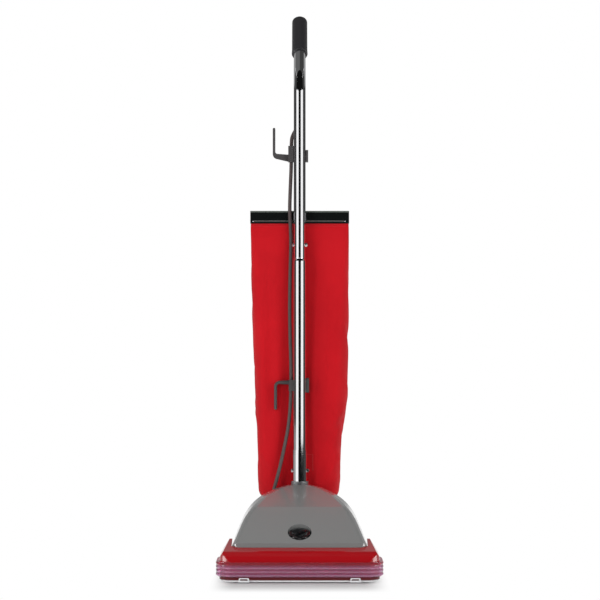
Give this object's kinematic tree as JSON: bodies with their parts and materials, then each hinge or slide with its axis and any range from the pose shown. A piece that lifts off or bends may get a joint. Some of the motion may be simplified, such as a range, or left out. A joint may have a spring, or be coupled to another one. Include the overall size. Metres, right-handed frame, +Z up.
{
  "type": "upright vacuum cleaner",
  "caption": "Commercial upright vacuum cleaner: wide brush nozzle, domed motor hood with height knob, tipping tube handle with cord hooks and a cloth dust bag under a slide-on clamp bar.",
  "frame": {"origin": "on the floor, under the middle of the machine's overall box", "axes": "+Z up, -Y the way the nozzle points, +Y towards the user, X across the nozzle"},
  "size_m": [0.345, 0.4634, 1.2171],
  "materials": {
    "red_housing": "gloss",
    "clear_guard": "gloss",
    "bare_plate": "satin",
    "latch_steel": "satin",
    "hood_grey": "gloss",
    "screw_steel": "polished",
    "roll_body": "satin",
    "bristle": "matte",
    "end_cap": "matte",
    "belt_rubber": "matte",
    "cast_alloy": "satin",
    "bearing_steel": "gloss",
    "can_steel": "satin",
    "core_steel": "matte",
    "coil_copper": "satin",
    "carbon": "matte",
    "shaft_steel": "gloss",
    "commutator_copper": "satin",
    "fan_alloy": "satin",
    "wheel_plastic": "satin",
    "tyre_rubber": "matte",
    "roller_plastic": "satin",
    "carriage_plastic": "satin",
    "knob_black": "gloss",
    "pin_steel": "satin",
    "socket_chrome": "polished",
    "bolt_steel": "polished",
    "tube_chrome": "polished",
    "grip_black": "satin",
    "switch_frame": "gloss",
    "rocker_black": "gloss",
    "cord_rubber": "satin",
    "hook_grey": "satin",
    "hanger_steel": "gloss",
    "bar_black": "gloss",
    "bag_cloth": "matte",
    "duct_black": "satin",
    "collar_steel": "gloss",
    "pedal_black": "satin",
    "spring_steel": "satin",
    "lead_grey": "satin"
  },
  "bodies": {
    "base": {"base_housing": "red_housing", "furniture_guard": "clear_guard", "bottom_plate": "bare_plate", "motor_hood": "hood_grey", "housing_screws": "screw_steel", "brush_end_caps": "end_cap", "drive_belt": "belt_rubber", "fan_cover": "cast_alloy", "cover_screws": "screw_steel", "motor_bearings": "bearing_steel", "motor_frame": "can_steel", "motor_stator": "core_steel", "field_coils": "coil_copper", "carbon_brushes": "carbon", "rear_axles": "pin_steel", "pivot_pins": "pin_steel", "exhaust_duct": "duct_black", "bag_collar": "collar_steel", "pedal_pin": "pin_steel", "pedal_spring": "spring_steel", "lead_gland": "cord_rubber"},
    "handle": {"handle_bail": "cast_alloy", "handle_socket": "socket_chrome", "socket_bolt": "bolt_steel", "lower_tube": "tube_chrome", "upper_tube": "tube_chrome", "tube_bolt": "bolt_steel", "hand_grip": "grip_black", "switch_bezel": "switch_frame", "cord_inlet": "cord_rubber", "lead_grommet": "cord_rubber", "upper_hook": "hook_grey", "lower_hook_bracket": "hook_grey", "hook_screws": "screw_steel", "bag_hanger": "hanger_steel", "dust_bag": "bag_cloth", "bag_throat": "bag_cloth", "motor_lead": "lead_grey", "motor_lead_tail": "lead_grey"},
    "bag_clamp": {"bag_clamp_bar": "bar_black"},
    "cord_hook": {"lower_hook": "hook_grey"},
    "rocker": {"switch_rocker": "rocker_black"},
    "pedal": {"release_pedal": "pedal_black"},
    "left_wheel": {"rear_wheel_left": "wheel_plastic", "rear_tyre_left": "tyre_rubber"},
    "right_wheel": {"rear_wheel_right": "wheel_plastic", "rear_tyre_right": "tyre_rubber"},
    "carriage": {"wheel_carriage": "carriage_plastic"},
    "left_roller": {"front_wheel_left": "roller_plastic"},
    "right_roller": {"front_wheel_right": "roller_plastic"},
    "knob": {"height_knob": "knob_black"},
    "rotor": {"motor_shaft": "shaft_steel", "armature_core": "core_steel", "commutator": "commutator_copper", "suction_fan": "fan_alloy", "drive_pulley": "shaft_steel"},
    "brush": {"brush_roll": "roll_body", "brush_bristles": "bristle"},
    "left_latch": {"plate_latch_left": "latch_steel"},
    "right_latch": {"plate_latch_right": "latch_steel"}
  },
  "joints": [
    {"name": "handle_tilt", "type": "hinge", "parent": "base", "child": "handle", "pos_m": [0, 0.11034, 0.07], "axis": [-1, 0, 0], "range_deg": [0, 75], "deforming": ["bag_throat", "motor_lead_tail"]},
    {"name": "bag_clamp_slide", "type": "slide", "parent": "handle", "child": "bag_clamp", "axis": [1, 0, 0], "range_m": [0, 0.216]},
    {"name": "cord_hook_swing", "type": "hinge", "parent": "handle", "child": "cord_hook", "pos_m": [-0.03, 0.09404, 0.397], "axis": [-1, 0, 0], "range_deg": [0, 180]},
    {"name": "power_switch", "type": "hinge", "parent": "handle", "child": "rocker", "pos_m": [0, 0.08534, 1.0165], "axis": [-1, 0, 0], "range_deg": [0, 14]},
    {"name": "release_pedal_press", "type": "hinge", "parent": "base", "child": "pedal", "pos_m": [-0.0355, 0.08734, 0.046], "axis": [-1, 0, 0], "range_deg": [0, 10], "stiffness_Nm_per_rad": 3, "springref_deg": -11.46, "deforming": ["pedal_spring"]},
    {"name": "left_wheel_spin", "type": "hinge", "parent": "base", "child": "left_wheel", "pos_m": [-0.109, 0.09884, 0.036], "axis": [1, 0, 0], "continuous": true},
    {"name": "right_wheel_spin", "type": "hinge", "parent": "base", "child": "right_wheel", "pos_m": [0.109, 0.09884, 0.036], "axis": [1, 0, 0], "continuous": true},
    {"name": "carriage_lift", "type": "slide", "parent": "base", "child": "carriage", "axis": [0, 0.3746, -0.9272], "range_m": [0, 0.01]},
    {"name": "left_roller_spin", "type": "hinge", "parent": "carriage", "child": "left_roller", "pos_m": [-0.0635, -0.11474, 0.016], "axis": [1, 0, 0], "continuous": true},
    {"name": "right_roller_spin", "type": "hinge", "parent": "carriage", "child": "right_roller", "pos_m": [0.0635, -0.11474, 0.016], "axis": [1, 0, 0], "continuous": true},
    {"name": "height_knob_turn", "type": "hinge", "parent": "base", "child": "knob", "pos_m": [0, -0.14666, 0.095], "axis": [0, -0.3746, 0.9272], "range_deg": [0, 150]},
    {"name": "rotor_spin", "type": "hinge", "parent": "base", "child": "rotor", "pos_m": [0, -0.01966, 0.085], "axis": [0, 0, 1], "continuous": true},
    {"name": "brush_spin", "type": "hinge", "parent": "base", "child": "brush", "pos_m": [0, -0.18816, 0.029], "axis": [1, 0, 0], "continuous": true},
    {"name": "left_latch_turn", "type": "hinge", "parent": "base", "child": "left_latch", "pos_m": [-0.085, -0.14516, 0.01], "axis": [0, 0, 1], "range_deg": [0, 90]},
    {"name": "right_latch_turn", "type": "hinge", "parent": "base", "child": "right_latch", "pos_m": [0.085, -0.14516, 0.01], "axis": [0, 0, -1], "range_deg": [0, 90]}
  ],
  "couplings": [
    {"joint": "height_knob_turn", "follows": "carriage_lift", "rad_per_m": 261.8},
    {"joint": "brush_spin", "follows": "rotor_spin", "ratio": -0.5}
  ]
}
